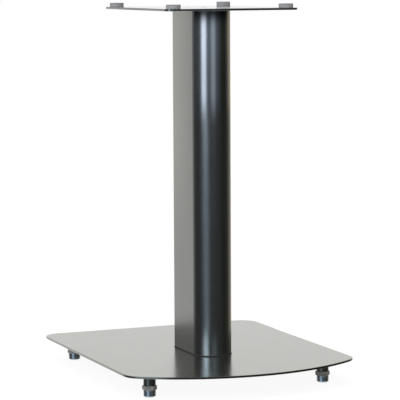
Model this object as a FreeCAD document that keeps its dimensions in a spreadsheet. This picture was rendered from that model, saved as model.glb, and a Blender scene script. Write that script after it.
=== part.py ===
import FreeCAD, Part
import itertools
import math
import os
import Sketcher
from FreeCAD import Placement, Rotation, Vector

# A speaker stand: a thin base plate with a bowed front edge, a D-section column, a thin top plate
# with four rubber pads for the speaker, and four screw-adjusted feet under the base.
# Millimetres. +Z is up and -Y is the front, where the column is round and the base is bowed.
# The origin is on the floor, under the middle of the base plate.

doc = FreeCAD.newDocument("speaker_stand")
sheet = doc.addObject("Spreadsheet::Sheet", "sizes")
sheet_rows = itertools.count(1)


class Size:
    """A length with both its number and the sheet expression that gives it."""

    def __init__(self, value, text=None):
        self.value = float(value)
        self.text = text or repr(float(value))

    def combine(self, other, sign, value):
        return Size(value, f"({self.text} {sign} {other.text})")

    def __add__(self, other):
        other = as_size(other)
        return self.combine(other, "+", self.value + other.value)

    def __sub__(self, other):
        other = as_size(other)
        return self.combine(other, "-", self.value - other.value)

    def __mul__(self, other):
        other = as_size(other)
        return self.combine(other, "*", self.value * other.value)

    def __truediv__(self, other):
        other = as_size(other)
        return self.combine(other, "/", self.value / other.value)

    def __neg__(self):
        return Size(-self.value, f"(-{self.text})")


def as_size(thing):
    return thing if isinstance(thing, Size) else Size(thing)


def driving(name, value, note):
    """Write one driving dimension into the sheet and return it as a Size."""
    row = next(sheet_rows)
    sheet.set(f"A{row}", name)
    sheet.set(f"B{row}", str(value))
    sheet.set(f"C{row}", note)
    sheet.setAlias(f"B{row}", name)
    return Size(value, f"sizes.{name}")


# Base plate
base_width = driving("base_width", 330, "across the parallel sides")
base_side = driving("base_side", 352, "straight length of each side")
base_bow = driving("base_bow", 58, "how far the front edge bows out past the sides")
base_thickness = driving("base_thickness", 3, "steel plate")
base_front_round = driving("base_front_round", 30, "front corner radius")
base_back_round = driving("base_back_round", 25, "back corner radius")
plate_edge_round = driving("plate_edge_round", 0.5, "eased edges of both plates")

# Column
column_length = driving("column_length", 470, "between the two plates")
column_width = driving("column_width", 54, "also twice the radius of the round front")
column_depth = driving("column_depth", 99, "from the round front to the flat back")
column_wall = driving("column_wall", 2, "steel wall")
column_forward = driving("column_forward", 15.5, "middle of the column in front of the base's middle")
column_back_round = driving("column_back_round", 3, "radius of the two back corners")
column_end_ease = driving("column_end_ease", 0.6, "chamfer round the sawn ends")
end_plate_thickness = driving("end_plate_thickness", 8, "plates welded inside the column's ends")
end_plate_gap = driving("end_plate_gap", 0.1, "weld gap round the end plates")

# Top plate
top_width = driving("top_width", 190, "left to right")
top_depth = driving("top_depth", 240, "front to back")
top_thickness = driving("top_thickness", 3, "steel plate")
top_corner_round = driving("top_corner_round", 10, "corner radius")

# Fixings between the plates and the column
fixing_spacing_x = driving("fixing_spacing_x", 26, "bolts and screws, left to right")
fixing_spacing_y = driving("fixing_spacing_y", 50, "bolts and screws, front to back")
thread_gap = driving("thread_gap", 0.05, "radial room between a thread and its tapped hole")
bolt_diameter = driving("bolt_diameter", 8, "bolts from beneath into the lower end plate")
bolt_length = driving("bolt_length", 12, "under the head")
bolt_head_flats = driving("bolt_head_flats", 13, "across the flats")
bolt_head_height = driving("bolt_head_height", 5.3, "hexagon head")
bolt_hole_gap = driving("bolt_hole_gap", 0.5, "radial room in the base plate")
washer_diameter = driving("washer_diameter", 16, "outside")
washer_thickness = driving("washer_thickness", 1.6, "plain washer")
washer_gap = driving("washer_gap", 0.2, "radial room round the bolt")
screw_diameter = driving("screw_diameter", 5, "countersunk screws into the upper end plate")
screw_length = driving("screw_length", 10, "with the head")
screw_head_diameter = driving("screw_head_diameter", 10, "at the top of the countersink")
screw_hole_gap = driving("screw_hole_gap", 0.25, "radial room in the top plate")
screw_socket_flats = driving("screw_socket_flats", 3, "hexagon socket")
screw_socket_depth = driving("screw_socket_depth", 1.8, "hexagon socket")

# Rubber pads on the top plate
pad_diameter = driving("pad_diameter", 19.4, "rubber pad")
pad_height = driving("pad_height", 5.5, "rubber pad")
pad_round = driving("pad_round", 0.8, "rounded upper rim")
pad_inset = driving("pad_inset", 14, "pad centre from the top plate's edges")

# Feet
foot_inset_side = driving("foot_inset_side", 39, "foot centre from the side of the base")
foot_inset_back = driving("foot_inset_back", 32, "foot centre from the back of the base")
foot_inset_front = driving("foot_inset_front", 79, "foot centre from the front of the bow")
boss_diameter = driving("boss_diameter", 16.6, "tapped boss welded under the base")
boss_height = driving("boss_height", 15.5, "tapped boss")
boss_ease = driving("boss_ease", 0.5, "chamfers of the boss")
stud_diameter = driving("stud_diameter", 10, "screw thread, outside")
stud_top_gap = driving("stud_top_gap", 1, "between the stud and the base plate at rest")
stud_lead = driving("stud_lead", 1, "chamfer at the top of the stud")
nut_flats = driving("nut_flats", 17, "adjusting nut, across the flats")
nut_height = driving("nut_height", 6, "adjusting nut, fast on the stud")
nut_slope = driving("nut_slope", 0.577, "rise of the nut's chamfers, 30 degrees")
glide_diameter = driving("glide_diameter", 16.6, "turned foot that swivels on the stud")
glide_height = driving("glide_height", 9.4, "turned foot")
glide_chamfer_width = driving("glide_chamfer_width", 2, "chamfer at the floor")
glide_chamfer_height = driving("glide_chamfer_height", 1.5, "chamfer at the floor")
glide_rim_ease = driving("glide_rim_ease", 0.4, "chamfer at the top")
glide_recess_diameter = driving("glide_recess_diameter", 9.4, "recess for the riveted end")
glide_recess_depth = driving("glide_recess_depth", 3.4, "recess for the riveted end")
spigot_diameter = driving("spigot_diameter", 6, "lower end of the stud, inside the foot")
swivel_gap = driving("swivel_gap", 0.08, "radial room of the swivel")
swivel_lift = driving("swivel_lift", 0.1, "end play of the swivel, above and below")
rivet_diameter = driving("rivet_diameter", 8.4, "riveted end under the foot's web")
rivet_height = driving("rivet_height", 1.3, "riveted end")

# Angles in degrees. At rest each adjusting nut has one flat that looks out past the front left corner.
nut_turn = -22.5
countersink_angle = 90
full_turn = 360

root_three = Size(math.sqrt(3), "sqrt(3)")
nothing = Size(0)

# Places nearer than same_place millimetres are one, and a cut takes at least least_cut cubic millimetres.
# The cutter that chamfers a hexagon reaches past_corners times as far out as its corners.
same_place = 1e-6
least_cut = 0.001
past_corners = 1.1

# Heights that follow from the sizes above
nut_bottom = glide_height + swivel_lift
boss_bottom = nut_bottom + nut_height
base_bottom = boss_bottom + boss_height
base_top = base_bottom + base_thickness
column_top = base_top + column_length
top_top = column_top + top_thickness

# Places in plan that follow from the sizes above
base_back_y = (base_side + base_bow) / 2
base_chord_y = base_back_y - base_side
column_front_y = -(column_depth / 2) - column_forward
column_back_y = column_depth / 2 - column_forward
foot_x = base_width / 2 - foot_inset_side
foot_back_y = base_back_y - foot_inset_back
foot_front_y = base_chord_y - base_bow + foot_inset_front
pad_x = top_width / 2 - pad_inset
pad_y = top_depth / 2 - pad_inset

sides = {"left": -1, "right": 1}
foot_places = {
    f"{end}_{side}": (foot_x * sign, y)
    for end, y in (("front", foot_front_y), ("back", foot_back_y))
    for side, sign in sides.items()
}
pad_places = {
    f"{end}_{side}": (pad_x * sign, pad_y * end_sign)
    for end, end_sign in (("front", -1), ("back", 1))
    for side, sign in sides.items()
}
fixing_places = [
    (fixing_spacing_x / 2 * sign, fixing_spacing_y / 2 * end_sign - column_forward)
    for end_sign in (-1, 1)
    for sign in (-1, 1)
]

pieces = []


def new_body(label):
    body = doc.addObject("PartDesign::Body", label)
    body.Label = label
    pieces.append(body)
    return body


def place(piece, x, y, z, turn=0):
    piece.Placement = Placement(Vector(x.value, y.value, z.value), Rotation(Vector(0, 0, 1), turn))
    for axis, size in (("x", x), ("y", y), ("z", z)):
        piece.setExpression(f"Placement.Base.{axis}", size.text)


def new_sketch(body, name, role, height=nothing):
    """A sketch on one of the body's own origin planes, lifted along the plane's normal."""
    plane = next(item for item in body.Origin.OriginFeatures if item.Role == role)
    sketch = body.newObject("Sketcher::SketchObject", f"{body.Label}_{name}")
    sketch.AttachmentSupport = [(plane, "")]
    sketch.MapMode = "FlatFace"
    if height.value:
        sketch.AttachmentOffset = Placement(Vector(0, 0, height.value), Rotation())
        sketch.setExpression("AttachmentOffset.Base.z", height.text)
    return sketch


def hold(sketch, kind, line, end, size):
    """Fix one coordinate of a sketched point, measured from the origin."""
    if abs(size.value) < same_place:
        axis = -2 if kind == "DistanceX" else -1
        sketch.addConstraint(Sketcher.Constraint("PointOnObject", line, end, axis))
        return
    index = sketch.addConstraint(Sketcher.Constraint(kind, -1, 1, line, end, size.value))
    name = f"{kind[-1].lower()}{index}"
    sketch.renameConstraint(index, name)
    sketch.setExpression(f"Constraints.{name}", size.text)


def hold_radius(sketch, curve, size):
    index = sketch.addConstraint(Sketcher.Constraint("Radius", curve, size.value))
    name = f"radius{index}"
    sketch.renameConstraint(index, name)
    sketch.setExpression(f"Constraints.{name}", size.text)


def draw_outline(sketch, corners):
    """A closed outline of straight lines through the corners, each corner fixed in x and y."""
    ends = corners[1:] + corners[:1]
    lines = []
    for (x1, y1), (x2, y2) in zip(corners, ends):
        start = Vector(x1.value, y1.value, 0)
        end = Vector(x2.value, y2.value, 0)
        lines.append(sketch.addGeometry(Part.LineSegment(start, end), False))
    for index, line in enumerate(lines):
        sketch.addConstraint(Sketcher.Constraint("Coincident", lines[index - 1], 2, line, 1))
        x, y = corners[index]
        hold(sketch, "DistanceX", line, 1, x)
        hold(sketch, "DistanceY", line, 1, y)


def draw_circle(sketch, x, y, radius):
    centre = Vector(x.value, y.value, 0)
    circle = sketch.addGeometry(Part.Circle(centre, Vector(0, 0, 1), radius.value), False)
    hold(sketch, "DistanceX", circle, 3, x)
    hold(sketch, "DistanceY", circle, 3, y)
    hold_radius(sketch, circle, radius)


def draw_hexagon(sketch, x, y, flats):
    """A hexagon with two corners on a line along x."""
    reach = flats / root_three
    corners = [(x + reach, y), (x + reach / 2, y + flats / 2), (x - reach / 2, y + flats / 2)]
    corners += [(x - reach, y), (x - reach / 2, y - flats / 2), (x + reach / 2, y - flats / 2)]
    draw_outline(sketch, corners)


def draw_d_section(sketch, width, front_y, back_y):
    """Two straight sides and a straight back, with a half circle across the front."""
    half = width / 2
    centre_y = front_y + half
    left, right = -half.value, half.value
    top, low = back_y.value, centre_y.value
    side_a = sketch.addGeometry(Part.LineSegment(Vector(left, top, 0), Vector(left, low, 0)), False)
    side_b = sketch.addGeometry(Part.LineSegment(Vector(right, low, 0), Vector(right, top, 0)), False)
    back = sketch.addGeometry(Part.LineSegment(Vector(right, top, 0), Vector(left, top, 0)), False)
    circle = Part.Circle(Vector(0, low, 0), Vector(0, 0, 1), right)
    front = sketch.addGeometry(Part.ArcOfCircle(circle, math.pi, 2 * math.pi), False)
    sketch.addConstraint(Sketcher.Constraint("Coincident", side_b, 2, back, 1))
    sketch.addConstraint(Sketcher.Constraint("Coincident", back, 2, side_a, 1))
    sketch.addConstraint(Sketcher.Constraint("Vertical", side_a))
    sketch.addConstraint(Sketcher.Constraint("Vertical", side_b))
    sketch.addConstraint(Sketcher.Constraint("Tangent", side_a, 2, front, 1))
    sketch.addConstraint(Sketcher.Constraint("Tangent", front, 2, side_b, 1))
    hold(sketch, "DistanceX", side_a, 1, -half)
    hold(sketch, "DistanceY", side_a, 1, back_y)
    hold(sketch, "DistanceX", side_b, 2, half)
    hold(sketch, "DistanceY", side_b, 2, back_y)
    hold(sketch, "DistanceY", front, 3, centre_y)


def draw_bowed_plate(sketch, width, back_y, chord_y, bow):
    """Two parallel sides and a straight back, with a shallow arc across the front."""
    half = width / 2
    radius = (half * half + bow * bow) / (bow * 2)
    left, right = -half.value, half.value
    top, low = back_y.value, chord_y.value
    centre = Vector(0, low - bow.value + radius.value, 0)
    reach = math.atan2(low - centre.y, right)
    side_a = sketch.addGeometry(Part.LineSegment(Vector(left, top, 0), Vector(left, low, 0)), False)
    side_b = sketch.addGeometry(Part.LineSegment(Vector(right, low, 0), Vector(right, top, 0)), False)
    back = sketch.addGeometry(Part.LineSegment(Vector(right, top, 0), Vector(left, top, 0)), False)
    circle = Part.Circle(centre, Vector(0, 0, 1), radius.value)
    front = sketch.addGeometry(Part.ArcOfCircle(circle, math.pi - reach, 2 * math.pi + reach), False)
    for first, second in ((side_a, front), (front, side_b), (side_b, back), (back, side_a)):
        sketch.addConstraint(Sketcher.Constraint("Coincident", first, 2, second, 1))
    for line, x in ((side_a, -half), (side_b, half)):
        for end in (1, 2):
            at_back = (line == side_a) == (end == 1)
            hold(sketch, "DistanceX", line, end, x)
            hold(sketch, "DistanceY", line, end, back_y if at_back else chord_y)
    hold_radius(sketch, front, radius)


def pad(body, sketch, length):
    feature = body.newObject("PartDesign::Pad", f"{sketch.Name}_pad")
    feature.Profile = sketch
    feature.Length = length.value
    feature.setExpression("Length", length.text)
    sketch.Visibility = False
    doc.recompute()


def check_cut(body, before):
    """Stop if the last feature took nothing off the body's volume."""
    if body.Shape.Volume > before - least_cut:
        raise ValueError(f"{body.Tip.Name} cuts nothing")


def cut_upward(body, sketch, length):
    """A pocket of a given depth, cut upward from the level of the sketch."""
    before = body.Shape.Volume
    feature = body.newObject("PartDesign::Pocket", f"{sketch.Name}_cut")
    feature.Profile = sketch
    feature.Reversed = True
    feature.Length = length.value
    feature.setExpression("Length", length.text)
    doc.recompute()
    check_cut(body, before)


def turned(body, profile):
    """A piece turned on the lathe: the profile is in radius and height."""
    sketch = new_sketch(body, "profile", "XZ_Plane")
    draw_outline(sketch, profile)
    feature = body.newObject("PartDesign::Revolution", f"{body.Label}_turned")
    feature.Profile = sketch
    feature.ReferenceAxis = (sketch, ["V_Axis"])
    feature.Angle = full_turn
    doc.recompute()


def edge_names(shape, chosen):
    return [f"Edge{n}" for n, edge in enumerate(shape.Edges, 1) if chosen(edge)]


def upright(edge):
    along = edge.Vertexes[-1].Point - edge.Vertexes[0].Point
    return abs(along.z) > same_place and math.hypot(along.x, along.y) < same_place


def upright_at(edge, y):
    return upright(edge) and abs(edge.Vertexes[0].Y - y.value) < same_place


def level_at(edge, *heights):
    """Whether an edge lies level at one of the heights."""
    low = min(vertex.Z for vertex in edge.Vertexes)
    high = max(vertex.Z for vertex in edge.Vertexes)
    return any(high - height.value < same_place > height.value - low for height in heights)


def soften(body, kind, name, size, chosen):
    """A fillet or chamfer on the edges of the body's tip that are chosen."""
    base = body.Tip
    feature = body.newObject(f"PartDesign::{kind}", f"{body.Label}_{name}")
    feature.Base = (base, edge_names(base.Shape, chosen))
    prop = "Radius" if kind == "Fillet" else "Size"
    setattr(feature, prop, size.value)
    feature.setExpression(prop, size.text)
    body.Tip = feature
    doc.recompute()


def drill(body, name, places, radius, depth):
    """Round holes cut upward from the body's lower face."""
    sketch = new_sketch(body, name, "XY_Plane")
    for x, y in places:
        draw_circle(sketch, x, y, radius)
    cut_upward(body, sketch, depth)


def make_base_plate():
    body = new_body("base_plate")
    outline = new_sketch(body, "outline", "XY_Plane")
    draw_bowed_plate(outline, base_width, base_back_y, base_chord_y, base_bow)
    pad(body, outline, base_thickness)
    soften(body, "Fillet", "front_corners", base_front_round,
           lambda edge: upright_at(edge, base_chord_y))
    soften(body, "Fillet", "back_corners", base_back_round,
           lambda edge: upright_at(edge, base_back_y))
    soften(body, "Fillet", "edges", plate_edge_round,
           lambda edge: level_at(edge, nothing, base_thickness))
    drill(body, "bolt_holes", fixing_places, bolt_diameter / 2 + bolt_hole_gap, base_thickness)
    place(body, nothing, nothing, base_bottom)


def make_top_plate():
    body = new_body("top_plate")
    outline = new_sketch(body, "outline", "XY_Plane")
    half_x = top_width / 2
    half_y = top_depth / 2
    draw_outline(outline, [(-half_x, -half_y), (half_x, -half_y), (half_x, half_y), (-half_x, half_y)])
    pad(body, outline, top_thickness)
    soften(body, "Fillet", "corners", top_corner_round, upright)
    soften(body, "Fillet", "edges", plate_edge_round,
           lambda edge: level_at(edge, nothing, top_thickness))
    marks = new_sketch(body, "screw_marks", "XY_Plane", top_thickness)
    hole_radius = screw_diameter / 2 + screw_hole_gap
    for x, y in fixing_places:
        draw_circle(marks, x, y, hole_radius)
    hole = body.newObject("PartDesign::Hole", "top_plate_screw_holes")
    doc.recompute()
    hole.Profile = marks
    hole.DepthType = "ThroughAll"
    hole.Threaded = False
    hole.Diameter = hole_radius.value * 2
    hole.setExpression("Diameter", (hole_radius * 2).text)
    hole.HoleCutType = "Countersink"
    hole.HoleCutDiameter = screw_head_diameter.value
    hole.setExpression("HoleCutDiameter", (screw_head_diameter + screw_hole_gap).text)
    hole.HoleCutCountersinkAngle = countersink_angle
    body.Tip = hole
    doc.recompute()
    place(body, nothing, nothing, column_top)


def make_column_tube():
    body = new_body("column_tube")
    outside = new_sketch(body, "outside", "XY_Plane")
    draw_d_section(outside, column_width, column_front_y, column_back_y)
    pad(body, outside, column_length)
    soften(body, "Fillet", "back_corners", column_back_round,
           lambda edge: upright_at(edge, column_back_y))
    soften(body, "Chamfer", "sawn_ends", column_end_ease,
           lambda edge: level_at(edge, nothing, column_length))
    inside = new_sketch(body, "inside", "XY_Plane")
    inner_back_y = column_back_y - column_wall
    draw_d_section(inside, column_width - column_wall * 2, column_front_y + column_wall, inner_back_y)
    cut_upward(body, inside, column_length)
    soften(body, "Fillet", "inner_corners", column_back_round - column_wall,
           lambda edge: upright_at(edge, inner_back_y))
    place(body, nothing, nothing, base_top)


def make_end_plate(label, bottom, hole_radius):
    """A plate inside the tube's end, tapped for the fixings."""
    body = new_body(label)
    outline = new_sketch(body, "outline", "XY_Plane")
    inset = column_wall + end_plate_gap
    back_y = column_back_y - inset
    draw_d_section(outline, column_width - inset * 2, column_front_y + inset, back_y)
    pad(body, outline, end_plate_thickness)
    soften(body, "Fillet", "corners", column_back_round - column_wall,
           lambda edge: upright_at(edge, back_y))
    drill(body, "tapped_holes", fixing_places, hole_radius, end_plate_thickness)
    place(body, nothing, nothing, bottom)


def make_column_bolts():
    """Four hexagon-head bolts from beneath, in one group."""
    body = new_body("column_bolts")
    body.AllowCompound = True
    heads = new_sketch(body, "heads", "XY_Plane")
    for x, y in fixing_places:
        draw_hexagon(heads, x, y, bolt_head_flats)
    pad(body, heads, bolt_head_height)
    shanks = new_sketch(body, "shanks", "XY_Plane", bolt_head_height)
    for x, y in fixing_places:
        draw_circle(shanks, x, y, bolt_diameter / 2)
    pad(body, shanks, bolt_length)
    place(body, nothing, nothing, base_bottom - washer_thickness - bolt_head_height)


def make_column_washers():
    body = new_body("column_washers")
    body.AllowCompound = True
    rings = new_sketch(body, "rings", "XY_Plane")
    for x, y in fixing_places:
        draw_circle(rings, x, y, washer_diameter / 2)
        draw_circle(rings, x, y, bolt_diameter / 2 + washer_gap)
    pad(body, rings, washer_thickness)
    place(body, nothing, nothing, base_bottom - washer_thickness)


def make_top_plate_screws():
    """Four countersunk screws with hexagon sockets, in one group, flush with the top plate."""
    head_height = (screw_head_diameter - screw_diameter) / 2
    screws = []
    for number, (x, y) in enumerate(fixing_places, 1):
        head = doc.addObject("Part::Cone", f"screw_head_{number}")
        shank = doc.addObject("Part::Cylinder", f"screw_shank_{number}")
        socket = doc.addObject("Part::Prism", f"screw_socket_{number}")
        place(head, x, y, top_top - head_height)
        place(shank, x, y, top_top - screw_length)
        place(socket, x, y, top_top - screw_socket_depth)
        settings = (
            (head, "Radius1", screw_diameter / 2),
            (head, "Radius2", screw_head_diameter / 2),
            (head, "Height", head_height),
            (shank, "Radius", screw_diameter / 2),
            (shank, "Height", screw_length - head_height),
            (socket, "Circumradius", screw_socket_flats / root_three),
            (socket, "Height", screw_socket_depth),
        )
        for solid, prop, size in settings:
            setattr(solid, prop, size.value)
            solid.setExpression(prop, size.text)
        blank = doc.addObject("Part::Fuse", f"screw_blank_{number}")
        blank.Base = head
        blank.Tool = shank
        screw = doc.addObject("Part::Cut", f"screw_{number}")
        screw.Base = blank
        screw.Tool = socket
        screws.append(screw)
    group = doc.addObject("Part::Compound", "top_plate_screws")
    group.Links = screws
    group.Label = "top_plate_screws"
    pieces.append(group)


def make_top_pad(place_name, x, y):
    """A round rubber pad with a softly rounded upper rim."""
    body = new_body(f"top_pad_{place_name}")
    disc = new_sketch(body, "disc", "XY_Plane")
    draw_circle(disc, nothing, nothing, pad_diameter / 2)
    pad(body, disc, pad_height)
    soften(body, "Fillet", "rim", pad_round, lambda edge: level_at(edge, pad_height))
    place(body, x, y, top_top)


def make_foot_boss(place_name, x, y):
    """The tapped boss under the base. Its bore is closed above by the base plate."""
    body = new_body(f"foot_boss_{place_name}")
    outer = boss_diameter / 2
    inner = stud_diameter / 2 + thread_gap
    turned(body, [
        (inner + boss_ease, nothing),
        (outer - boss_ease, nothing),
        (outer, boss_ease),
        (outer, boss_height),
        (inner, boss_height),
        (inner, boss_ease),
    ])
    place(body, x, y, boss_bottom)


def make_foot_stud(place_name, x, y):
    """The screwed stud: thread above, then a spigot through the foot, riveted over below it."""
    body = new_body(f"foot_stud_{place_name}")
    thread = stud_diameter / 2
    spigot = spigot_diameter / 2
    rivet = rivet_diameter / 2
    rivet_top = glide_recess_depth - swivel_lift
    top = base_bottom - stud_top_gap
    turned(body, [
        (nothing, rivet_top - rivet_height),
        (rivet, rivet_top - rivet_height),
        (rivet, rivet_top),
        (spigot, rivet_top),
        (spigot, nut_bottom),
        (thread, nut_bottom),
        (thread, top - stud_lead),
        (thread - stud_lead, top),
        (nothing, top),
    ])
    place(body, x, y, nothing)


def make_foot_nut(place_name, x, y):
    """The adjusting nut: a hexagon whose corners are turned off at both faces."""
    body = new_body(f"foot_nut_{place_name}")
    blank = new_sketch(body, "blank", "XY_Plane")
    draw_hexagon(blank, nothing, nothing, nut_flats)
    draw_circle(blank, nothing, nothing, stud_diameter / 2 + thread_gap)
    pad(body, blank, nut_height)
    face = nut_flats / 2
    reach = nut_flats / root_three * past_corners
    drop = (reach - face) * nut_slope
    corners = new_sketch(body, "corners", "XZ_Plane")
    draw_outline(corners, [(face, nothing), (reach, nothing), (reach, drop)])
    draw_outline(corners, [(face, nut_height), (reach, nut_height), (reach, nut_height - drop)])
    before = body.Shape.Volume
    groove = body.newObject("PartDesign::Groove", f"{body.Label}_turned_corners")
    groove.Profile = corners
    groove.ReferenceAxis = (corners, ["V_Axis"])
    groove.Angle = full_turn
    doc.recompute()
    check_cut(body, before)
    place(body, x, y, nut_bottom, nut_turn)


def make_foot_glide(place_name, x, y):
    """The turned foot: a web on the spigot, and a recess below it for the riveted end."""
    body = new_body(f"foot_glide_{place_name}")
    outer = glide_diameter / 2
    web = spigot_diameter / 2 + swivel_gap
    recess = glide_recess_diameter / 2
    turned(body, [
        (recess, nothing),
        (outer - glide_chamfer_width, nothing),
        (outer, glide_chamfer_height),
        (outer, glide_height - glide_rim_ease),
        (outer - glide_rim_ease, glide_height),
        (web, glide_height),
        (web, glide_recess_depth),
        (recess, glide_recess_depth),
    ])
    place(body, x, y, nothing)


def check_document():
    faulty = [item.Name for item in doc.Objects if {"Invalid", "Error"} & set(item.State)]
    if faulty:
        raise ValueError(f"not built: {faulty}")
    for piece in pieces:
        if piece.Shape.isNull() or not piece.Shape.isValid() or not piece.Shape.Solids:
            raise ValueError(f"{piece.Label} has no valid solid")


make_base_plate()
make_column_tube()
make_end_plate("column_lower_plate", base_top, bolt_diameter / 2 + thread_gap)
make_end_plate("column_upper_plate", column_top - end_plate_thickness, screw_diameter / 2 + thread_gap)
make_column_bolts()
make_column_washers()
make_top_plate()
make_top_plate_screws()
for place_name, (x, y) in pad_places.items():
    make_top_pad(place_name, x, y)
for place_name, (x, y) in foot_places.items():
    make_foot_boss(place_name, x, y)
    make_foot_stud(place_name, x, y)
    make_foot_nut(place_name, x, y)
    make_foot_glide(place_name, x, y)

doc.recompute()
check_document()
os.makedirs("parts", exist_ok=True)
for piece in pieces:
    piece.Shape.exportStep(f"parts/{piece.Label}.step")
    solids = len(piece.Shape.Solids)
    print(f"{piece.Label}: {solids} solid(s), {piece.Shape.Volume / 1000:.2f} cm3")
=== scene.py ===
import math

import bpy
import numpy as np
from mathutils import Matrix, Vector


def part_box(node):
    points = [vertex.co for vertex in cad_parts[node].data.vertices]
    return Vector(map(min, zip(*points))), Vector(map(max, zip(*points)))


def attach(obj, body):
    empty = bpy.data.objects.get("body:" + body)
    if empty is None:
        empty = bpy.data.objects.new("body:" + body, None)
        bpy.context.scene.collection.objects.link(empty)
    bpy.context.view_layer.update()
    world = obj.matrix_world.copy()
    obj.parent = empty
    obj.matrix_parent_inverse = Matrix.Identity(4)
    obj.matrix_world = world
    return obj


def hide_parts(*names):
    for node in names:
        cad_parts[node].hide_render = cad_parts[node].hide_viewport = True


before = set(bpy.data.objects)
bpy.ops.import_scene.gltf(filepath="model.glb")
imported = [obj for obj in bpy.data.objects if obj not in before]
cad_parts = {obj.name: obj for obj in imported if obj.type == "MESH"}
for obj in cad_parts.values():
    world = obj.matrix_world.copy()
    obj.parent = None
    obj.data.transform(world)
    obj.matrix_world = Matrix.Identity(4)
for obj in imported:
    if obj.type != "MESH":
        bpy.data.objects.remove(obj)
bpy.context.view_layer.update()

# A speaker stand in metres: +Z up, -Y the front, the floor at z = 0.
# The plates, column, bosses, nuts and washers are the frame's own meshes with new finishes.
# The studs, feet, pads, bolts and screws are worked out here as finer surfaces.

scene = bpy.context.scene
fullTurn = 2 * math.pi
cornerNames = ["front_left", "front_right", "back_left", "back_right"]
crispAngle = 38                                 # degrees between faces that meet in a crisp line
print("frame:", len(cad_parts), "nodes")


class Wire:                                     # a node's output that takes part in sums
    def __init__(self, finish, socket):
        self.finish = finish
        self.socket = socket

    def maths(self, operation, *values):
        inputs = dict(enumerate(values))
        return self.finish.node("ShaderNodeMath", {"operation": operation}, inputs)[0]

    def __add__(self, other):
        return self.maths("ADD", self, other)

    def __sub__(self, other):
        return self.maths("SUBTRACT", self, other)

    def __rsub__(self, other):
        return self.maths("SUBTRACT", other, self)

    def __mul__(self, other):
        return self.maths("MULTIPLY", self, other)

    def __truediv__(self, other):
        return self.maths("DIVIDE", self, other)

    __radd__ = __add__
    __rmul__ = __mul__

    def abs(self):
        return self.maths("ABSOLUTE", self)

    def root(self):
        return self.maths("SQRT", self)

    def least(self, other):
        return self.maths("MINIMUM", self, other)

    def most(self, other):
        return self.maths("MAXIMUM", self, other)

    def step(self, low, high):                  # 0 at low, 1 at high, smooth between
        settings = {"interpolation_type": "SMOOTHSTEP"}
        values = {"Value": self, "From Min": low, "From Max": high}
        return self.finish.node("ShaderNodeMapRange", settings, values)[0]

    def hill(self, middle, flat, reach):        # 1 near the middle, 0 beyond its reach
        return 1 - (self - middle).abs().step(flat, reach)


class Finish:                                   # a material, or the world, as a list of nodes
    def __init__(self, owner):
        owner.use_nodes = True
        self.owner = owner
        self.tree = owner.node_tree
        self.tree.nodes.clear()

    def node(self, kind, settings=None, values=None):
        made = self.tree.nodes.new(kind)
        for key, value in (settings or {}).items():
            setattr(made, key, value)
        for key, value in (values or {}).items():
            if isinstance(value, Wire):
                self.tree.links.new(value.socket, made.inputs[key])
            else:
                made.inputs[key].default_value = value
        return [Wire(self, output) for output in made.outputs]

    def places(self):                           # the point, and its x, y and z in metres
        point = self.node("ShaderNodeTexCoord")[3]
        return point, self.node("ShaderNodeSeparateXYZ", None, {"Vector": point})

    def noise(self, point, scale, detail, rough=0.5):
        values = {"Vector": point, "Scale": scale, "Detail": detail, "Roughness": rough}
        return self.node("ShaderNodeTexNoise", None, values)[0]

    def stretched(self, point, scales):         # the point with each axis scaled by itself
        values = {0: point, 1: scales}
        return self.node("ShaderNodeVectorMath", {"operation": "MULTIPLY"}, values)[0]

    def blend(self, amount, first, second):     # two colours by an amount from 0 to 1
        settings = {"data_type": "RGBA", "clamp_factor": True}
        values = {0: amount, 6: first, 7: second}
        return self.node("ShaderNodeMix", settings, values)[2]

    def bump(self, height, depth):
        return self.node("ShaderNodeBump", None, {"Height": height, "Distance": depth})[0]

    def surface(self, values):
        shader = self.node("ShaderNodeBsdfPrincipled", None, values)[0]
        self.node("ShaderNodeOutputMaterial", None, {"Surface": shader})


def newFinish(name):
    return Finish(bpy.data.materials.new(name))


def useFinish(piece, finish):
    piece.data.materials.clear()
    piece.data.materials.append(finish.owner)


def putMesh(name, points, faces, uv=None):
    # points is an n x 3 array, faces a list of corner lists, uv one pair for each face corner
    mesh = bpy.data.meshes.new(name)
    mesh.from_pydata(points.tolist(), [], faces)
    if uv is not None:
        layer = mesh.uv_layers.new(name="surface")
        layer.uv.foreach_set("vector", np.asarray(uv, np.float32).ravel())
    mesh.polygons.foreach_set("use_smooth", np.ones(len(mesh.polygons), bool))
    mesh.update()
    mesh.set_sharp_from_angle(angle=math.radians(crispAngle))
    piece = bpy.data.objects.new(name, mesh)
    scene.collection.objects.link(piece)
    return piece


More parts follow.
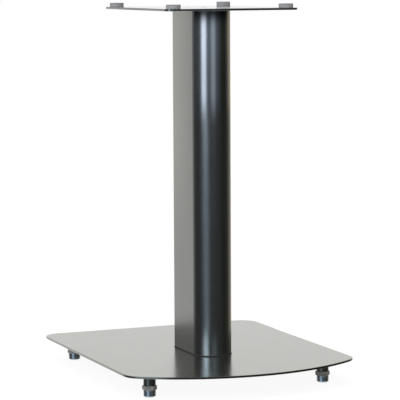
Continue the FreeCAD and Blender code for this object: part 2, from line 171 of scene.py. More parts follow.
def turnedPiece(name, profile, steps, places, shape=None):
    # Each row of the profile is a ring: x = r cos(angle), y = r sin(angle), z = height, moved to
    # each of the places. A shape(angles, radii, heights) may change the radii, as a hexagon or a
    # thread does. The first and last rows have radius 0, so each end closes on one point.
    radii, heights = np.asarray(profile, float).T
    angles = np.arange(steps) * fullTurn / steps
    reach = np.repeat(radii[1:-1, None], steps, 1)
    if shape:
        reach = shape(angles[None, :], reach, heights[1:-1, None])
    rings = np.stack([reach * np.cos(angles), reach * np.sin(angles),
                      np.repeat(heights[1:-1, None], steps, 1)], -1)
    ends = np.array([[0, 0, heights[0]], [0, 0, heights[-1]]])
    points = np.concatenate([rings.reshape(-1, 3), ends])
    rows = len(radii) - 2
    row, column = np.meshgrid(np.arange(rows - 1), np.arange(steps), indexing="ij")
    beside = (column + 1) % steps
    quads = np.stack([row * steps + column, row * steps + beside,
                      (row + 1) * steps + beside, (row + 1) * steps + column], -1).reshape(-1, 4)
    column = np.arange(steps)
    beside = (column + 1) % steps
    last = (rows - 1) * steps
    low = np.stack([beside, column, np.full(steps, rows * steps)], -1)
    high = np.stack([last + column, last + beside, np.full(steps, rows * steps + 1)], -1)
    faces = []
    for first in np.arange(len(places)) * len(points):
        faces += (quads + first).tolist() + (low + first).tolist() + (high + first).tolist()
    points = np.concatenate([points + np.asarray(place, float) for place in places])
    return putMesh(name, points, faces, np.tile(turnedUv(radii, heights, steps), (len(places), 1)))


def turnedUv(radii, heights, steps):
    # u runs once round the piece, and v is the length along the profile in metres
    along = np.concatenate([[0], np.cumsum(np.hypot(np.diff(radii), np.diff(heights)))])
    turn = np.arange(steps) / steps
    wide = 1 / steps
    u = np.repeat(turn[None, :], len(radii) - 3, 0)
    v0 = np.repeat(along[1:-2, None], steps, 1)
    v1 = np.repeat(along[2:-1, None], steps, 1)
    quads = np.stack([u, v0, u + wide, v0, u + wide, v1, u, v1], -1).reshape(-1, 2)
    low = np.stack([turn + wide, turn * 0 + along[1], turn, turn * 0 + along[1],
                    turn + wide / 2, turn * 0], -1).reshape(-1, 2)
    high = np.stack([turn, turn * 0 + along[-2], turn + wide, turn * 0 + along[-2],
                     turn + wide / 2, turn * 0 + along[-1]], -1).reshape(-1, 2)
    return np.concatenate([quads, low, high])


def arcPoints(centre, radius, start, end, count):
    # points on a circle of the profile's plane, from one angle in degrees to another
    angles = np.radians(np.linspace(start, end, count))
    return np.stack([centre[0] + radius * np.cos(angles), centre[1] + radius * np.sin(angles)], -1).tolist()


def upright(radius, low, high, rows):
    # rows of one radius, evenly from one height to another
    return [(radius, height) for height in np.linspace(low, high, rows)]


def nodeCentre(node):
    low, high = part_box(node)
    return (low.x + high.x) / 2, (low.y + high.y) / 2, low.z


lacquer = {
    "colour": (0.146, 0.148, 0.136),            # dark gunmetal flakes under a clear lacquer
    "baseLitColour": (0.200, 0.202, 0.170),        # a paler, warmer lit copy of the same gunmetal, so that the base's top reflects brighter
    "flakes": 2600,                             # per metre
    "flakeShare": (0.45, 0.75),                 # of their noise, over which a flake comes up
    "flakeGain": 1.35,                          # how much brighter the flakes are
    "flakeWeight": 0.55,
    "clouds": 14,                               # broad changes of roughness, per metre
    "cloudDull": 0.05,
    "smears": 3.0,                              # wiped marks, after their stretch
    "smearStretch": (9, 9, 60),
    "smearDull": 0.04,
    "chips": 900,                               # per metre, where an edge is rubbed
    "chipShare": (0.52, 0.62),
    "wornReach": (0.0002, 0.0011),              # how far in from its edge a plate is rubbed
    "wornColour": (0.36, 0.35, 0.34, 1),        # steel where the edges are rubbed bare
    "wornWeight": 0.6,
    "wornDull": 0.1,
    "dustAndShadeColour": (0.02, 0.02, 0.02, 1),        # dust and painted shade where the column stands on the base, and the cut edge's painted shade
    "seamHeight": 0.0002,                       # how far up the column it is fully dark
    "seamReach": (0.0002, 0.0016),              # how far out it fades
    "seamDull": 0.5,
    "paintedRimShade": 0.75,                           # painted shade: how much darker the base's cut edge is
    "rimReach": (0.00005, 0.0003),              # how far in
    "rimFrom": (-0.132, -0.108),                # where the painted shade starts, right of the left corner, which stays unshaded
    "waves": 420,                               # of the lacquer, per metre
    "relief": (0.6, 0.25, 1.5),                 # shares of the waves, flakes and chips in the relief
    "depth": 0.000006,
    "clear": 0.5,                               # weight of the clear layer
}
baseBow = 0.058                                 # how far the base's front edge bows out


def makeLacquer(name, colour, roughness, clearRoughness, edges, seam, paintedRimShade=0.0):
    # edges(x, y, z) and seam(x, y, z) give the distances from the nearest edge that wears
    # and from the joint between column and base, in metres. The rim's painted shade is 0 to 1.
    finish = newFinish(name)
    point, (x, y, z) = finish.places()
    flake = finish.noise(point, lacquer["flakes"], detail=1.0)
    cloud = finish.noise(point, lacquer["clouds"], detail=3.0)
    wiped = finish.stretched(point, lacquer["smearStretch"])
    smear = finish.noise(wiped, lacquer["smears"], detail=4.0, rough=0.6)
    chip = finish.noise(point, lacquer["chips"], detail=3.0, rough=0.65)
    wave = finish.noise(point, lacquer["waves"], detail=1.0)
    edge = edges(x, y, z)
    worn = (1 - edge.step(*lacquer["wornReach"])) * chip.step(*lacquer["chipShare"])
    bright = [part * lacquer["flakeGain"] for part in colour]
    shown = flake.step(*lacquer["flakeShare"]) * lacquer["flakeWeight"]
    colour = finish.blend(shown, (*colour, 1), (*bright, 1))
    colour = finish.blend(worn * lacquer["wornWeight"], colour, lacquer["wornColour"])
    if paintedRimShade:
        # painted shade on the base's cut edge, fading out towards its left corner
        rim = (1 - edge.step(*lacquer["rimReach"])) * x.step(*lacquer["rimFrom"])
        colour = finish.blend(rim * paintedRimShade, colour, lacquer["dustAndShadeColour"])
    # dust and painted shade at the column's foot and around it on the base
    clean = seam(x, y, z).step(*lacquer["seamReach"])
    colour = finish.blend(clean, lacquer["dustAndShadeColour"], colour)
    dull = roughness + (cloud - 0.5) * lacquer["cloudDull"] + (smear - 0.5) * lacquer["smearDull"]
    dull = dull + worn * lacquer["wornDull"] + (1 - clean) * lacquer["seamDull"]
    waves, flakes, chips = lacquer["relief"]
    height = wave * waves + flake * flakes - worn * chips
    finish.surface({"Base Color": colour, "Metallic": clean, "Roughness": dull,
                    "Normal": finish.bump(height, lacquer["depth"]),
                    "Coat Weight": clean * lacquer["clear"], "Coat Roughness": clearRoughness})
    return finish


def plateEdge(node, bow=0.0):
    # Distance in from the sides, back and front of a plate. A front that bows out is an arc whose
    # radius is (half width squared + bow squared) over twice the bow, between the straight sides.
    low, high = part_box(node)
    half = high.x

    def distance(x, y, z):
        sides = (half - x.abs()).least(high.y - y)
        front = y - (low.y + bow)
        if bow:
            radius = (half * half + bow * bow) / (2 * bow)
            inward = y - (low.y + radius)
            front = front.most(radius - (x * x + inward * inward).root())
        return sides.least(front).abs()
    return distance


def columnEdge(x, y, z):
    # distance in from the column's ends
    low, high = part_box("column_tube")
    return (z - low.z).least(high.z - z)


def columnFoot(x, y, z):
    # height over the dark line at the column's foot
    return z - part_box("column_tube")[0].z - lacquer["seamHeight"]


def besideColumn(x, y, z):
    # distance out from the column's outline, which is a half circle in front, flat sides and a
    # flat back, or else the depth below the face that the column stands on
    low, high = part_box("column_tube")
    ahead = (y - (low.y + high.x)).least(0)
    return ((x * x + ahead * ahead).root() - high.x).most(y - high.y).most(low.z - z)


def farAway(x, y, z):                           # for a piece with no such edge or joint
    return z * 0 + 1


baseLacquer = makeLacquer("gunmetal_base", lacquer["baseLitColour"], roughness=0.23, clearRoughness=0.2,
                          edges=plateEdge("base_plate", baseBow), seam=besideColumn,
                          paintedRimShade=lacquer["paintedRimShade"])
topLacquer = makeLacquer("gunmetal_top", lacquer["colour"], roughness=0.12, clearRoughness=0.05,
                         edges=plateEdge("top_plate"), seam=farAway)
columnLacquer = makeLacquer("gunmetal_column", lacquer["colour"], roughness=0.26, clearRoughness=0.22,
                            edges=columnEdge, seam=columnFoot)
bossLacquer = makeLacquer("gunmetal_boss", lacquer["colour"], roughness=0.24, clearRoughness=0.2,
                          edges=farAway, seam=farAway)


metal = {
    "bare_steel": {
        "clean": (0.46, 0.46, 0.45, 1),
        "stained": (0.34, 0.32, 0.29, 1),
        "stains": 60,                           # per metre
        "stainShare": (0.4, 0.75),              # of their noise, over which a stain comes up
        "marks": (900, 3.0, 0.5),               # how many a metre, detail and roughness of the noise
        "stretch": (1, 12, 1),
        "depth": 0.00001,
        "dull": (0.32, 0.15, 0),                # roughness, and what the marks and stains add to it
        "metallic": 1.0,
    },
    "zinc_steel": {
        "clean": (0.60, 0.62, 0.65, 1),
        "stained": (0.50, 0.48, 0.42, 1),
        "stains": 120,
        "stainShare": (0.35, 0.7),
        "marks": (1400, 2.0, 0.5),
        "stretch": (1, 1, 1),
        "depth": 0.000008,
        "dull": (0.26, 0, 0.18),
        "metallic": 1.0,
    },
    "black_oxide": {
        "clean": (0.37, 0.35, 0.323, 1),
        "stained": (0.28, 0.269, 0.255, 1),
        "stains": 260,
        "stainShare": (0.35, 0.7),
        "marks": (2200, 3.0, 0.6),
        "stretch": (1, 1, 1),
        "depth": 0.00001,
        "dull": (0.335, 0.25, 0),
        "metallic": 0.45,
    },
    "dark_nickel": {
        "clean": (0.38, 0.44, 0.50, 1),
        "stained": (0.48, 0.53, 0.57, 1),
        "stains": 300,
        "stainShare": (0.3, 0.7),
        "marks": (1.0, 3.0, 0.6),
        "stretch": (0.6, 9000, 0),
        "depth": 0.000012,
        "dull": (0.15, 0.14, 0),
        "metallic": 1.0,
        "turned": True,
    },
}
metal["dark_oxide"] = {**metal["black_oxide"], "clean": (0.085, 0.083, 0.08, 1),
                       "stained": (0.055, 0.054, 0.052, 1)}


def makeMetal(name):
    # Fine marks give the relief, and broad stains blend the two colours. Turning marks are rings,
    # so they follow the length along the profile, which is v of the piece's own map.
    look = metal[name]
    finish = newFinish(name)
    point, _ = finish.places()
    start = finish.node("ShaderNodeTexCoord")[2] if look.get("turned") else point
    marks = finish.noise(finish.stretched(start, look["stretch"]), *look["marks"])
    stains = finish.noise(point, look["stains"], detail=3.0)
    colour = finish.blend(stains.step(*look["stainShare"]), look["clean"], look["stained"])
    least, byMarks, byStains = look["dull"]
    finish.surface({"Base Color": colour, "Metallic": look["metallic"],
                    "Roughness": least + marks * byMarks + stains * byStains,
                    "Normal": finish.bump(marks, look["depth"])})
    return finish


bareSteel = makeMetal("bare_steel")
zinc = makeMetal("zinc_steel")
blackOxide = makeMetal("black_oxide")
darkOxide = makeMetal("dark_oxide")
darkNickel = makeMetal("dark_nickel")
print("lacquer and metal ready")


finishOf = {
    "base_plate": baseLacquer,
    "top_plate": topLacquer,
    "column_tube": columnLacquer,
    "column_lower_plate": bareSteel,
    "column_upper_plate": bareSteel,
    "column_washers": zinc,
}
for corner in cornerNames:
    finishOf["foot_boss_" + corner] = bossLacquer
    finishOf["foot_nut_" + corner] = blackOxide
for node, finish in finishOf.items():
    useFinish(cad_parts[node], finish)


grooveSlope = 1.25                              # steepness of every thread's sides
grooveCrest = 0.12                              # and how much of its crest stays whole
stud = {
    "radius": 0.005,
    "pitch": 0.0015,
    "depth": 0.00085,                           # of the thread groove
    "rowsPerTurn": 16,
    "steps": 72,
    "spigot": 0.003,
    "rivet": 0.0042,
    "rivetBottom": 0.002,
    "rivetTop": 0.0033,
    "rivetCurve": 0.0008,
    "threadBottom": 0.0095,
    "bevel": 0.00025,
    "top": 0.030,
    "lead": 0.001,                              # cone at the upper end
}


def threadGroove(angles, radii, heights, size, low, high):
    # The groove is a triangle wave of height less one pitch a turn, cut into the thread's radius
    # and clipped flat at its root. It fades out over the last pitch at each end.
    phase = (heights / size["pitch"] - angles / fullTurn) % 1
    wave = np.clip(np.abs(phase * 2 - 1) * grooveSlope - grooveCrest, 0, 1)
    fade = np.clip((heights - low) / size["pitch"], 0, 1) * np.clip((high - heights) / size["pitch"], 0, 1)
    return radii - size["depth"] * wave * fade


def hexagon(angles, across):
    # radius of a hexagon's outline: half its width across flats over the cosine from a flat's middle
    return across / 2 / np.cos((angles + math.pi / 6) % (math.pi / 3) - math.pi / 6)


def studShape(angles, radii, heights):
    thread = threadGroove(angles, radii, heights, stud, stud["threadBottom"], stud["top"])
    return np.where(heights > stud["threadBottom"], thread, radii)


def studProfile():
    # the riveted end, the spigot, the thread and its lead, from the bottom up
    bottom, top, curve = stud["threadBottom"], stud["top"], stud["rivetCurve"]
    rows = int((top - stud["lead"] - bottom) / stud["pitch"] * stud["rowsPerTurn"])
    profile = [(0, stud["rivetBottom"])]
    profile += arcPoints((stud["rivet"] - curve, stud["rivetBottom"] + curve), curve, -90, 0, 6)
    profile += [(stud["rivet"], stud["rivetTop"]), (stud["spigot"], stud["rivetTop"])]
    profile += [(stud["spigot"], bottom), (stud["radius"] - stud["bevel"], bottom)]
    profile += upright(stud["radius"], bottom + stud["bevel"], top - stud["lead"], rows)
    return profile + [(stud["radius"] - stud["lead"], top), (0, top)]


def makeStud(corner):
    x, y, _ = nodeCentre("foot_stud_" + corner)
    piece = turnedPiece("stud_thread_" + corner, studProfile(), stud["steps"], [(x, y, 0)], studShape)
    useFinish(piece, zinc)
    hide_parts("foot_stud_" + corner)
    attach(piece, "screw_" + corner)


for corner in cornerNames:
    makeStud(corner)
print("studs ready")


foot = {
    "radius": 0.0083,
    "height": 0.0094,
    "chamferWidth": 0.002,                      # where it meets the floor
    "chamferHeight": 0.0015,
    "rim": 0.0004,                              # chamfer of the upper edge
    "web": 0.00308,                             # radius of the hole that the spigot turns in
    "recess": 0.0047,                           # radius of the room for the riveted end
    "recessDepth": 0.0034,
    "ease": (0.00018, 0.00006),                 # each corner is cut twice
    "easeShare": 0.4,                           # and at most by this share of its sides
    "steps": 144,
}


def ringPiece(name, profile, steps, centre):
    # A closed profile carried once round: x = r cos(angle), y = r sin(angle), z = height.
    # u runs once round the piece, and v is the length along the profile in metres.
    radii, heights = np.asarray(profile, float).T
    angles = np.arange(steps) * fullTurn / steps
    points = np.stack([radii[:, None] * np.cos(angles), radii[:, None] * np.sin(angles),
                       np.repeat(heights[:, None], steps, 1)], -1).reshape(-1, 3)
    rows = len(radii)
    row, column = np.meshgrid(np.arange(rows), np.arange(steps), indexing="ij")
    above, beside = (row + 1) % rows, (column + 1) % steps
    faces = np.stack([row * steps + column, row * steps + beside,
                      above * steps + beside, above * steps + column], -1).reshape(-1, 4)
    around = np.hypot(np.roll(radii, -1) - radii, np.roll(heights, -1) - heights)
    along = np.concatenate([[0], np.cumsum(around)])
    u0, v0, v1 = column / steps, along[row], along[row + 1]
    u1 = u0 + 1 / steps
    uv = np.stack([u0, v0, u1, v0, u1, v1, u0, v1], -1).reshape(-1, 2)
    return putMesh(name, points + np.asarray(centre, float), faces.tolist(), uv)


def eased(profile, size):
    # each corner of a closed profile becomes a short flat, so that the turned edges catch light
    here = np.asarray(profile, float)
    cuts = []
    for shift in (1, -1):                       # towards the corner before, then the one after
        way = np.roll(here, shift, 0) - here
        length = np.linalg.norm(way, axis=1, keepdims=True)
        cuts.append(here + way / length * np.minimum(size, length * foot["easeShare"]))
    return np.stack(cuts, 1).reshape(-1, 2)


def makeFoot(corner):
    profile = [
        (foot["recess"], 0),
        (foot["radius"] - foot["chamferWidth"], 0),
        (foot["radius"], foot["chamferHeight"]),
        (foot["radius"], foot["height"] - foot["rim"]),
        (foot["radius"] - foot["rim"], foot["height"]),
        (foot["web"], foot["height"]),
        (foot["web"], foot["recessDepth"]),
        (foot["recess"], foot["recessDepth"]),
    ]
    for size in foot["ease"]:
        profile = eased(profile, size)
    x, y, _ = nodeCentre("foot_glide_" + corner)
    piece = ringPiece("turned_foot_" + corner, profile, foot["steps"], (x, y, 0))
    useFinish(piece, darkNickel)
    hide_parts("foot_glide_" + corner)
    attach(piece, "foot_" + corner)


for corner in cornerNames:
    makeFoot(corner)
print("feet ready")


rubberPad = {
    "radius": 0.0097,
    "height": 0.0055,
    "upperCurve": 0.0008,
    "lowerCurve": 0.0003,
    "dish": 0.00025,                            # depth of the hollow on top
    "dishSlope": (0.78, 0.74),                  # shares of the radius over which it falls
    "dishFlat": 0.4,
    "steps": 128,
    "colour": (0.34, 0.335, 0.335, 1),
    "dusty": (0.44, 0.435, 0.43, 1),
    "dust": 240,                                # patches per metre
    "dustShare": (0.4, 0.8),
    "dustWeight": 0.6,
    "rimShadeColour": (0.14, 0.14, 0.142, 1),
    "rimWeight": 0.75,
    "rimDown": (0.0016, 0.0003),                # how far below the top the rim's painted shade comes up
    "sideDown": (0.0040, 0.0022),               # and a weaker painted shade under it
    "sideWeight": 0.3,
    "stipple": 3200,
    "dustRelief": 0.4,                          # share of the dust in the relief
    "depth": 0.00004,
    "roughness": (0.62, 0.25),                  # and what the dust adds to it
}


def makeRubber():
    # painted shade darker towards the rim, dusty in patches, with a fine stipple as relief
    finish = newFinish("grey_rubber")
    point, (x, y, z) = finish.places()
    stipple = finish.noise(point, rubberPad["stipple"], detail=2.0, rough=0.6)
    dust = finish.noise(point, rubberPad["dust"], detail=4.0, rough=0.6)
    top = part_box("top_pad_front_left")[1].z
    rim = z.step(*[top - down for down in rubberPad["rimDown"]])
    side = z.step(*[top - down for down in rubberPad["sideDown"]]) * rubberPad["sideWeight"]
    patches = dust.step(*rubberPad["dustShare"]) * rubberPad["dustWeight"]
    colour = finish.blend(patches, rubberPad["colour"], rubberPad["dusty"])
    # painted shade at the pad's upper rim and side
    colour = finish.blend(rim.most(side) * rubberPad["rimWeight"], colour, rubberPad["rimShadeColour"])
    least, byDust = rubberPad["roughness"]
    height = stipple + dust * rubberPad["dustRelief"]
    finish.surface({"Base Color": colour, "Roughness": least + dust * byDust,
                    "Normal": finish.bump(height, rubberPad["depth"])})
    return finish


def padProfile():
    # the lower edge, the side, the upper edge and the shallow hollow on top
    radius, height = rubberPad["radius"], rubberPad["height"]
    lower, upper, low = rubberPad["lowerCurve"], rubberPad["upperCurve"], height - rubberPad["dish"]
    outer, inner = rubberPad["dishSlope"]
    profile = [(0, 0)]
    profile += arcPoints((radius - lower, lower), lower, -90, 0, 5)
    profile += arcPoints((radius - upper, height - upper), upper, 0, 90, 9)
    profile += [(radius * outer, height), (radius * inner, low)]
    return profile + [(radius * rubberPad["dishFlat"], low), (0, low)]


def makePad(corner):
    place = nodeCentre("top_pad_" + corner)
    piece = turnedPiece("rubber_pad_" + corner, padProfile(), rubberPad["steps"], [place])
    useFinish(piece, rubber)
    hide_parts("top_pad_" + corner)
    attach(piece, "stand")


rubber = makeRubber()
for corner in cornerNames:
    makePad(corner)
print("pads ready")


bolt = {
    "radius": 0.004,
    "pitch": 0.00125,
    "depth": 0.0007,
    "rowsPerTurn": 12,
    "across": 0.013,                            # of the hexagon head
    "headHeight": 0.0053,
    "face": 0.94,                               # widths of the lower and bearing faces, as shares
    "bearing": 0.97,
    "chamfer": 0.0011,                          # height of the cone that rounds the head's corners
    "chamferRows": 7,
    "arris": 0.0001,
    "lead": 0.0008,
    "steps": 72,
}
bolt["reach"] = bolt["across"] / math.sqrt(3)   # half the head's width across its corners
screw = {
    "radius": 0.0025,
    "pitch": 0.0008,
    "depth": 0.00045,
    "rowsPerTurn": 12,
    "reach": 0.005,                             # radius of the head
    "rim": 0.0003,                              # thickness of the head's edge
    "arris": 0.0001,
    "across": 0.003,                            # of the hexagon socket
    "socketMouth": 0.00012,                     # height of the first row of faces inside it
    "socketDepth": 0.0018,
    "socketTip": 0.0004,                        # of the drill's cone at its bottom
    "lead": 0.0006,
    "steps": 72,
}


def boltProfile(low, high):
    # head from its lower face up: a cone over the corners, the flats, the bearing face, the thread
    reach, half = bolt["reach"], bolt["across"] / 2
    face = half * bolt["face"]
    neck = low + bolt["headHeight"]
    rows = int((high - neck) / bolt["pitch"] * bolt["rowsPerTurn"])
    profile = [(0, low), (face, low)]
    cone = np.linspace(0, 1, bolt["chamferRows"] + 1)[1:]
    profile += [(face + (reach - face) * way, low + bolt["chamfer"] * way) for way in cone]
    profile += [(reach, neck - bolt["arris"]), (half * bolt["bearing"], neck)]
    profile += upright(bolt["radius"], neck, high - bolt["lead"], rows)
    return profile + [(bolt["radius"] - bolt["lead"], high), (0, high)]


def boltShape(low, high):
    neck = low + bolt["headHeight"]

    def shape(angles, radii, heights):
        head = np.minimum(radii, hexagon(angles, bolt["across"]))
        thread = threadGroove(angles, radii, heights, bolt, neck, high)
        return np.where(heights <= neck, head, thread)
    return shape


def screwNeck(high):
    # where the thread ends and the head's cone of 45 degrees starts
    return high - screw["rim"] - (screw["reach"] - screw["radius"])


def screwProfile(low, high):
    # thread from its tip up, the cone, the flat face, and down into the hexagon socket
    neck = screwNeck(high)
    rows = int((neck - low) / screw["pitch"] * screw["rowsPerTurn"])
    socket = screw["across"] / math.sqrt(3)
    floor = high - screw["socketDepth"]
    profile = [(0, low), (screw["radius"] - screw["lead"], low)]
    profile += upright(screw["radius"], low + screw["lead"], neck, rows)
    profile += [(screw["reach"], high - screw["rim"]), (screw["reach"], high - screw["arris"])]
    profile += [(screw["reach"] - screw["arris"], high), (socket, high)]
    profile += [(socket, high - screw["socketMouth"]), (socket, floor)]
    return profile + [(0, floor - screw["socketTip"])]


def screwShape(low, high):
    neck = screwNeck(high)

    def shape(angles, radii, heights):
        thread = threadGroove(angles, radii, heights, screw, low, neck)
        head = np.where(radii < screw["radius"], hexagon(angles, screw["across"]), radii)
        return np.where(heights <= neck, thread, head)
    return shape


def fixingPlaces(node, reach):
    # middles of a node's four separate fixings, from the corners of its box
    low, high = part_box(node)
    return [(x, y, 0) for x in (low.x + reach, high.x - reach) for y in (low.y + reach, high.y - reach)]


def makeFixings(name, node, size, profileOf, shapeOf, finish):
    # four equal turned pieces as one mesh
    low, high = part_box(node)
    piece = turnedPiece(name, profileOf(low.z, high.z), size["steps"],
                        fixingPlaces(node, size["reach"]), shapeOf(low.z, high.z))
    useFinish(piece, finish)
    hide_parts(node)
    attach(piece, "stand")


makeFixings("hexagon_bolts", "column_bolts", bolt, boltProfile, boltShape, zinc)
makeFixings("socket_screws", "top_plate_screws", screw, screwProfile, screwShape, darkOxide)
print("bolts and screws ready")


floorDisc = {
    "radius": 0.40,
    "centre": (0, -0.01),
    "steps": 96,
    "paint": (0.8, 0.8, 0.8, 1),                # what lamps and reflections meet
    "shade": (0.11, 0.11, 0.11, 1),             # the part of the light on it that the camera sees
    "glow": (0.925, 0.4),                       # plain white under that, and what its rim adds
    "rim": (0.62, 1.0),                         # shares of the radius
}


def makeFloor():
    # a disc at z = 0, whose shade fades to plain white at its rim
    angles = np.arange(floorDisc["steps"]) * fullTurn / floorDisc["steps"]
    cx, cy = floorDisc["centre"]
    radius = floorDisc["radius"]
    points = np.stack([cx + radius * np.cos(angles), cy + radius * np.sin(angles), angles * 0], -1)
    floor = putMesh("floor", points, [list(range(len(angles)))])
    finish = newFinish("floor_white")
    _, (x, y, z) = finish.places()
    away = ((x - cx) * (x - cx) + (y - cy) * (y - cy)).root() / radius
    plain, atRim = floorDisc["glow"]
    strength = plain + away.step(*floorDisc["rim"]) * atRim
    seen = finish.node("ShaderNodeLightPath")[0]
    paint = finish.node("ShaderNodeBsdfDiffuse", None, {"Color": floorDisc["paint"]})[0]
    shade = finish.node("ShaderNodeBsdfDiffuse", None, {"Color": floorDisc["shade"]})[0]
    glow = finish.node("ShaderNodeEmission", None, {"Color": (1, 1, 1, 1), "Strength": strength})[0]
    bright = finish.node("ShaderNodeAddShader", None, {0: shade, 1: glow})[0]
    shader = finish.node("ShaderNodeMixShader", None, {0: seen, 1: paint, 2: bright})[0]
    finish.node("ShaderNodeOutputMaterial", None, {"Surface": shader})
    useFinish(floor, finish)
    floor.visible_glossy = False


# The cards stand round the stand and show in its reflections only. Directions on them are degrees
# round from the front, and left is positive. A lamp is its direction, flat part, reach and colour.
black = (0, 0, 0, 1)
lowLight = {                                    # at the stand's own height
    "plain": (0.108, 0.115, 0.118, 1),
    "lamps": [
        (53, 0, 36, (0.32, 0.385, 0.50, 1)),
        (-57, 6, 34, (0.066, 0.069, 0.060, 1)),
    ],
    "right": (0.54, 0.51, 0.40, 1),
    "rightFrom": (-116, -80),
    "left": (1.25, 1.25, 1.23, 1),              # pale surroundings at the left and behind
    "leftFrom": (126, 172),
}
highLight = {                                   # a wide bright lamp at the left, a weaker one ahead
    "plain": (0.20, 0.22, 0.26, 1),
    "lamps": [
        (29, 18, 62, (0.38, 0.45, 0.60, 1)),
        (-44, 7, 32, (0.06, 0.075, 0.06, 1)),
        (10.5, 4, 15, (1.40, 1.64, 1.98, 1)),
        (54.4, 5.5, 17, (4.4, 4.9, 6.25, 1)),
    ],
    "rightFrom": (-88, -60),
}
farWall = {
    "centre": (0, 0),
    "radius": 3.6,
    "reach": (-138, 180),
    "heights": (-3.5, 2.2),
    "nearTurn": (0.805, 4.5),                   # where its directions meet the near band's
    "right": (0.04, 0.038, 0.03, 1),
    "left": (0.47, 0.47, 0.47, 1),
    "leftFrom": (125, 150),
    "highShare": 0.76,                          # how bright it shows the lamps
    "mirrorLamp": (54, 5, 17),                  # one more, which the base mirrors into the column
    "mirrorColour": (6.8, 8.5, 10.5, 1),
    "footLamp": (50, 2, 22),                    # and one low down
    "footColour": (0.62, 0.82, 0.95, 1),
    "footHeights": (-0.55, -0.44),
    "lowToHigh": (0.42, 0.62),                  # heights over which it changes
    "highToPale": (0.95, 1.7),
    "pale": (0.55, 0.55, 0.56, 1),
}
nearBand = {                                    # a ring of light close round the column's front
    "centre": (0, -0.038),
    "radius": 0.067,
    "reach": (-112, 116),
    "heights": (0.342, 0.5035),
    "right": (0.78, 0.71, 0.56, 1),
    "comesUp": (0.342, 0.396),                  # heights over which it comes up and goes out again
    "goesOut": (0.4835, 0.4985),
    "least": 0.8,                               # its share of full light below these heights
    "full": (0.41, 0.475),
    "ends": 12,
}
sideLight = {                                   # a second one beside the column's flat left side
    "centre": (0, -0.038),
    "radius": 0.14,
    "reach": (116, 178),
    "heights": (0.14, 0.5035),
    "comesUp": (0.14, 0.34),
    "ends": 24,
    "shift": 8,
}
cardColumns = 64


def glowRound(finish, turn, light):
    glow = light["plain"]
    for direction, flat, reach, colour in light["lamps"]:
        glow = finish.blend(turn.hill(direction, flat, reach), glow, colour)
    return glow


def lowGlow(finish, turn):
    # dark in front, paler at the right and back
    glow = glowRound(finish, turn, lowLight)
    glow = finish.blend(1 - turn.step(*lowLight["rightFrom"]), glow, lowLight["right"])
    return finish.blend(turn.step(*lowLight["leftFrom"]), glow, lowLight["left"])


def highGlow(finish, turn, right):
    glow = glowRound(finish, turn, highLight)
    return finish.blend(1 - turn.step(*highLight["rightFrom"]), glow, right)


def makeCard(name, size):
    # Part of an upright cylinder: x = centre - radius sin(turn), y = centre - radius cos(turn).
    angles = np.radians(np.linspace(*size["reach"], cardColumns))
    cx, cy = size["centre"]
    low, high = size["heights"]
    x, y = cx - size["radius"] * np.sin(angles), cy - size["radius"] * np.cos(angles)
    points = np.concatenate([np.stack([x, y, x * 0 + low], -1), np.stack([x, y, x * 0 + high], -1)])
    column = np.arange(cardColumns - 1)
    faces = np.stack([column, column + 1, column + 1 + cardColumns, column + cardColumns], -1).tolist()
    card = putMesh(name, points, faces)
    card.visible_camera = False
    card.visible_shadow = False
    card.visible_diffuse = False
    finish = newFinish(name)
    _, (x, y, z) = finish.places()
    turn = finish.node("ShaderNodeMath", {"operation": "ARCTAN2"}, {0: cx - x, 1: cy - y})[0]
    useFinish(card, finish)
    return finish, turn * (180 / math.pi), z


def glowWith(finish, colour, shown=1.0):
    # a plain glow, clear where shown is 0
    glow = finish.node("ShaderNodeEmission", None, {"Color": colour, "Strength": 1.0})[0]
    clear = finish.node("ShaderNodeBsdfTransparent")[0]
    shader = finish.node("ShaderNodeMixShader", None, {0: shown, 1: clear, 2: glow})[0]
    finish.node("ShaderNodeOutputMaterial", None, {"Surface": shader})


def makeWall():
    wall, turn, z = makeCard("studio_wall", farWall)
    share, shift = farWall["nearTurn"]
    high = highGlow(wall, turn * share + shift, farWall["right"])
    high = wall.blend(turn.step(*farWall["leftFrom"]), high, farWall["left"])
    high = wall.blend(farWall["highShare"], black, high)
    high = wall.blend(turn.hill(*farWall["mirrorLamp"]), high, farWall["mirrorColour"])
    high = wall.blend(z.step(*farWall["highToPale"]), high, farWall["pale"])
    lamp = turn.hill(*farWall["footLamp"]) * (1 - z.step(*farWall["footHeights"]))
    low = wall.blend(lamp, lowGlow(wall, turn), farWall["footColour"])
    glowWith(wall, wall.blend(z.step(*farWall["lowToHigh"]), low, high))


def makeBand():
    band, turn, z = makeCard("light_band", nearBand)
    start, end = nearBand["reach"]
    ahead = turn.step(*highLight["rightFrom"])
    least = nearBand["least"]
    full = (least + (1 - least) * z.step(*nearBand["full"])).most(1 - ahead)
    high = band.blend(full, black, highGlow(band, turn, nearBand["right"]))
    glow = band.blend(z.step(*nearBand["goesOut"]) * ahead, high, black)
    ends = turn.step(start, start + nearBand["ends"]) * (1 - turn.step(end - nearBand["ends"], end))
    glowWith(band, glow, ends * z.step(*nearBand["comesUp"]))


def makeSideLight():
    side, turn, z = makeCard("side_light", sideLight)
    start = sideLight["reach"][0]
    ends = turn.step(start, start + sideLight["ends"])
    glowWith(side, lowGlow(side, turn + sideLight["shift"]), ends * z.step(*sideLight["comesUp"]))


dayLevel = 0.6                                  # of the plain light on matt surfaces
lampTarget = (0, 0, 0.3)
lamps = {                                       # azimuth, elevation, distance, size, power, colour
    "key_lamp": (60, 25, 2.6, (0.95, 1.7), 34, (0.9, 0.95, 1.0)),
    "second_lamp": (5, 28, 2.8, (0.45, 1.2), 8, (0.92, 0.96, 1.0)),
    "overhead_lamp": (180, 75, 2.4, (1.8, 1.8), 24, (1.0, 1.0, 1.0)),
}


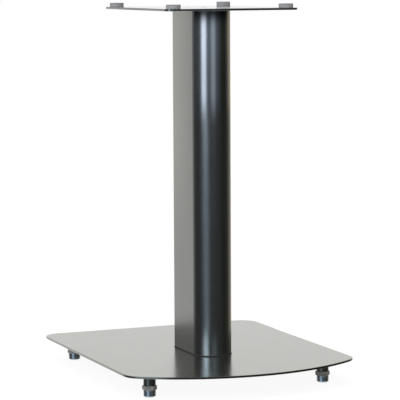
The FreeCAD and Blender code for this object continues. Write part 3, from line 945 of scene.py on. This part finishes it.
def makeWorld():
    # plain white for the camera and in reflections, weaker on matt surfaces
    finish = Finish(bpy.data.worlds.new("studio"))
    scene.world = finish.owner
    rays = finish.node("ShaderNodeLightPath")
    shown = rays[0].most(rays[3]).most(rays[6])
    strength = dayLevel + shown * (1 - dayLevel)
    glow = finish.node("ShaderNodeBackground", None, {"Color": (1, 1, 1, 1), "Strength": strength})[0]
    finish.node("ShaderNodeOutputWorld", None, {"Surface": glow})


def makeLamp(name, azimuth, elevation, distance, size, power, colour):
    # an area lamp for matt surfaces, which looks at the middle of the stand
    lamp = bpy.data.lights.new(name, "AREA")
    lamp.shape = "RECTANGLE"
    lamp.size, lamp.size_y = size
    lamp.energy = power
    lamp.color = colour
    light = bpy.data.objects.new(name, lamp)
    scene.collection.objects.link(light)
    side, rise = math.radians(azimuth), math.radians(elevation)
    flat = distance * math.cos(rise)
    way = np.array([flat * math.sin(side), flat * math.cos(side), -distance * math.sin(rise)])
    light.location = np.array(lampTarget) - way
    light.rotation_mode = "QUATERNION"
    light.rotation_quaternion = Vector(way).to_track_quat("-Z", "Y")
    light.visible_camera = False
    light.visible_glossy = False


makeFloor()
makeWorld()
makeWall()
makeBand()
makeSideLight()
for name, values in lamps.items():
    makeLamp(name, *values)
print("stage ready")


view = {
    "picture": 400,                             # pixels across
    "focal": 2137.1,                            # in the same pixels
    "sensor": 36,
    "distance": 2.93064,
    "azimuth": -22.57,
    "height": 0.55475,
    "pitch": 6.09,
    "yaw": 0.01,
    "roll": -0.29,
    "farEnd": 50,
}


def makeCamera():
    # The camera looks level at the stand's axis, is then turned by its yaw and pitch, and rolls.
    turn, yaw, pitch, roll = (math.radians(view[key]) for key in ("azimuth", "yaw", "pitch", "roll"))
    away = np.array([math.sin(turn), -math.cos(turn), 0])
    heading = math.atan2(-away[1], -away[0]) + yaw
    level = np.array([math.cos(heading), math.sin(heading), 0])
    up = np.array([0, 0, 1.0])
    ahead = level * math.cos(pitch) - up * math.sin(pitch)
    right = np.cross(ahead, up)
    right /= np.linalg.norm(right)
    above = np.cross(right, ahead)
    right, above = (right * math.cos(roll) + above * math.sin(roll),
                    above * math.cos(roll) - right * math.sin(roll))
    lens = bpy.data.cameras.new("camera")
    lens.sensor_fit = "HORIZONTAL"
    lens.sensor_width = view["sensor"]
    lens.lens = view["sensor"] * view["focal"] / view["picture"]
    lens.clip_end = view["farEnd"]
    camera = bpy.data.objects.new("camera", lens)
    scene.collection.objects.link(camera)
    place = away * view["distance"] + up * view["height"]
    rows = [[*axis, at] for axis, at in zip(np.stack([right, above, -ahead], 1).tolist(), place)]
    camera.matrix_world = Matrix([*rows, [0, 0, 0, 1]])
    scene.camera = camera


makeCamera()
scene.view_settings.view_transform = "Standard"
